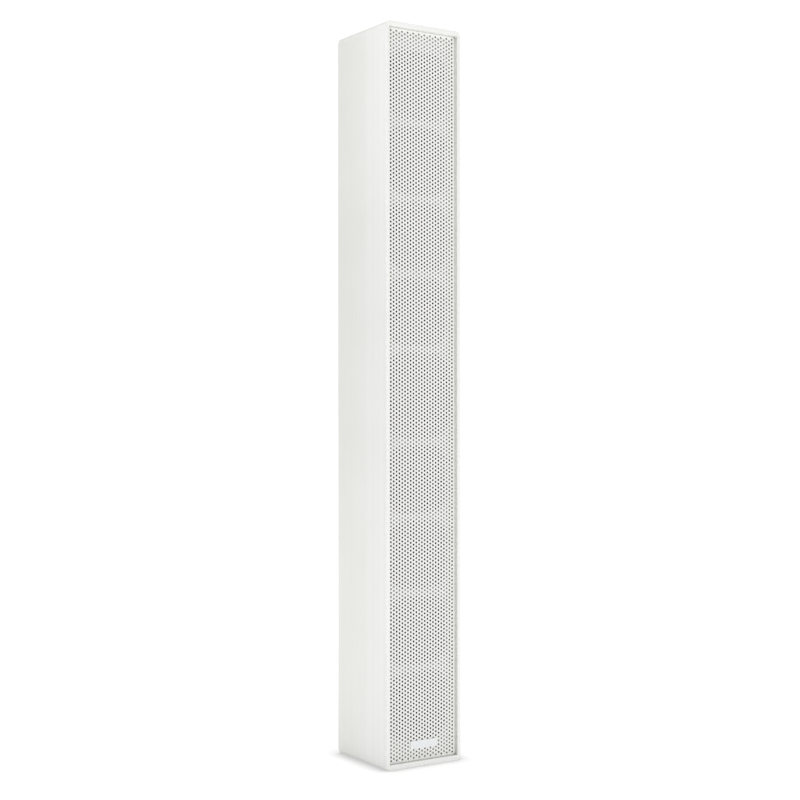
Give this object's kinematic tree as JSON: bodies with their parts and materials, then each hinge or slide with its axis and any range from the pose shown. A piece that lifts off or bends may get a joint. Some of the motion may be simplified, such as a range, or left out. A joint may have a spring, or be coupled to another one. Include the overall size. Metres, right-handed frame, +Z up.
{
  "type": "line array speaker",
  "caption": "Slim white column line array loudspeaker with a recessed perforated front, small woofers around a central horn, and sockets at the rear.",
  "frame": {"origin": "centre of the base, on the surface that the column stands on", "axes": "+Z up along the column, the perforated front faces -Y, +X to the right seen from the front"},
  "size_m": [0.115, 0.121, 0.957],
  "materials": {
    "white_aluminium": "white satin powder coat, fine texture",
    "white_steel": "white satin powder coat on perforated sheet",
    "white_board": "matt white lacquered baffle",
    "badge_plate": "pale satin plate, blank",
    "black_steel": "black electrophoretic paint",
    "ferrite_steel": "ferrite ring between zinc plates",
    "black_cone": "matt black polypropylene cone",
    "rubber": "matt rubber roll",
    "spider_cloth": "impregnated cotton",
    "black_plastic": "moulded, fine grain",
    "titanium": "formed foil",
    "circuit_board": "solder resist",
    "copper": "enamelled wire winding",
    "film_blue": "film capacitor sleeve",
    "zinc_steel": "zinc plated"
  },
  "bodies": {
    "cabinet": {"cabinet_body": "white_aluminium", "top_cap": "white_aluminium", "bottom_cap": "white_aluminium", "front_baffle": "white_board", "grille": "white_steel", "badge": "badge_plate", "woofer_1_basket": "black_steel", "woofer_1_motor": "ferrite_steel", "woofer_1_surround": "rubber", "woofer_1_spider": "spider_cloth", "woofer_2_basket": "black_steel", "woofer_2_motor": "ferrite_steel", "woofer_2_surround": "rubber", "woofer_2_spider": "spider_cloth", "woofer_3_basket": "black_steel", "woofer_3_motor": "ferrite_steel", "woofer_3_surround": "rubber", "woofer_3_spider": "spider_cloth", "woofer_4_basket": "black_steel", "woofer_4_motor": "ferrite_steel", "woofer_4_surround": "rubber", "woofer_4_spider": "spider_cloth", "woofer_5_basket": "black_steel", "woofer_5_motor": "ferrite_steel", "woofer_5_surround": "rubber", "woofer_5_spider": "spider_cloth", "woofer_6_basket": "black_steel", "woofer_6_motor": "ferrite_steel", "woofer_6_surround": "rubber", "woofer_6_spider": "spider_cloth", "woofer_7_basket": "black_steel", "woofer_7_motor": "ferrite_steel", "woofer_7_surround": "rubber", "woofer_7_spider": "spider_cloth", "woofer_8_basket": "black_steel", "woofer_8_motor": "ferrite_steel", "woofer_8_surround": "rubber", "woofer_8_spider": "spider_cloth", "hf_waveguide": "black_plastic", "hf_motor": "ferrite_steel", "hf_rear_cover": "black_plastic", "crossover_board": "circuit_board", "crossover_coil": "copper", "crossover_capacitor": "film_blue", "terminal_plate": "black_steel", "input_socket": "black_plastic", "link_socket": "black_plastic", "insert_lower_left": "zinc_steel", "insert_lower_right": "zinc_steel", "insert_upper_left": "zinc_steel", "insert_upper_right": "zinc_steel"},
    "woofer_1_moving": {"woofer_1_cone": "black_cone"},
    "woofer_2_moving": {"woofer_2_cone": "black_cone"},
    "woofer_3_moving": {"woofer_3_cone": "black_cone"},
    "woofer_4_moving": {"woofer_4_cone": "black_cone"},
    "woofer_5_moving": {"woofer_5_cone": "black_cone"},
    "woofer_6_moving": {"woofer_6_cone": "black_cone"},
    "woofer_7_moving": {"woofer_7_cone": "black_cone"},
    "woofer_8_moving": {"woofer_8_cone": "black_cone"},
    "hf_moving": {"hf_diaphragm": "titanium"}
  },
  "joints": [
    {"name": "woofer_1_travel", "type": "slide", "parent": "cabinet", "child": "woofer_1_moving", "axis": [0, -1, 0], "range_m": [-0.003, 0.003], "stiffness_N_per_m": 1200, "deforming": ["woofer_1_surround", "woofer_1_spider"]},
    {"name": "woofer_2_travel", "type": "slide", "parent": "cabinet", "child": "woofer_2_moving", "axis": [0, -1, 0], "range_m": [-0.003, 0.003], "stiffness_N_per_m": 1200, "deforming": ["woofer_2_surround", "woofer_2_spider"]},
    {"name": "woofer_3_travel", "type": "slide", "parent": "cabinet", "child": "woofer_3_moving", "axis": [0, -1, 0], "range_m": [-0.003, 0.003], "stiffness_N_per_m": 1200, "deforming": ["woofer_3_surround", "woofer_3_spider"]},
    {"name": "woofer_4_travel", "type": "slide", "parent": "cabinet", "child": "woofer_4_moving", "axis": [0, -1, 0], "range_m": [-0.003, 0.003], "stiffness_N_per_m": 1200, "deforming": ["woofer_4_surround", "woofer_4_spider"]},
    {"name": "woofer_5_travel", "type": "slide", "parent": "cabinet", "child": "woofer_5_moving", "axis": [0, -1, 0], "range_m": [-0.003, 0.003], "stiffness_N_per_m": 1200, "deforming": ["woofer_5_surround", "woofer_5_spider"]},
    {"name": "woofer_6_travel", "type": "slide", "parent": "cabinet", "child": "woofer_6_moving", "axis": [0, -1, 0], "range_m": [-0.003, 0.003], "stiffness_N_per_m": 1200, "deforming": ["woofer_6_surround", "woofer_6_spider"]},
    {"name": "woofer_7_travel", "type": "slide", "parent": "cabinet", "child": "woofer_7_moving", "axis": [0, -1, 0], "range_m": [-0.003, 0.003], "stiffness_N_per_m": 1200, "deforming": ["woofer_7_surround", "woofer_7_spider"]},
    {"name": "woofer_8_travel", "type": "slide", "parent": "cabinet", "child": "woofer_8_moving", "axis": [0, -1, 0], "range_m": [-0.003, 0.003], "stiffness_N_per_m": 1200, "deforming": ["woofer_8_surround", "woofer_8_spider"]},
    {"name": "hf_travel", "type": "slide", "parent": "cabinet", "child": "hf_moving", "axis": [0, -1, 0], "range_m": [-0.0004, 0.0004], "stiffness_N_per_m": 600}
  ]
}
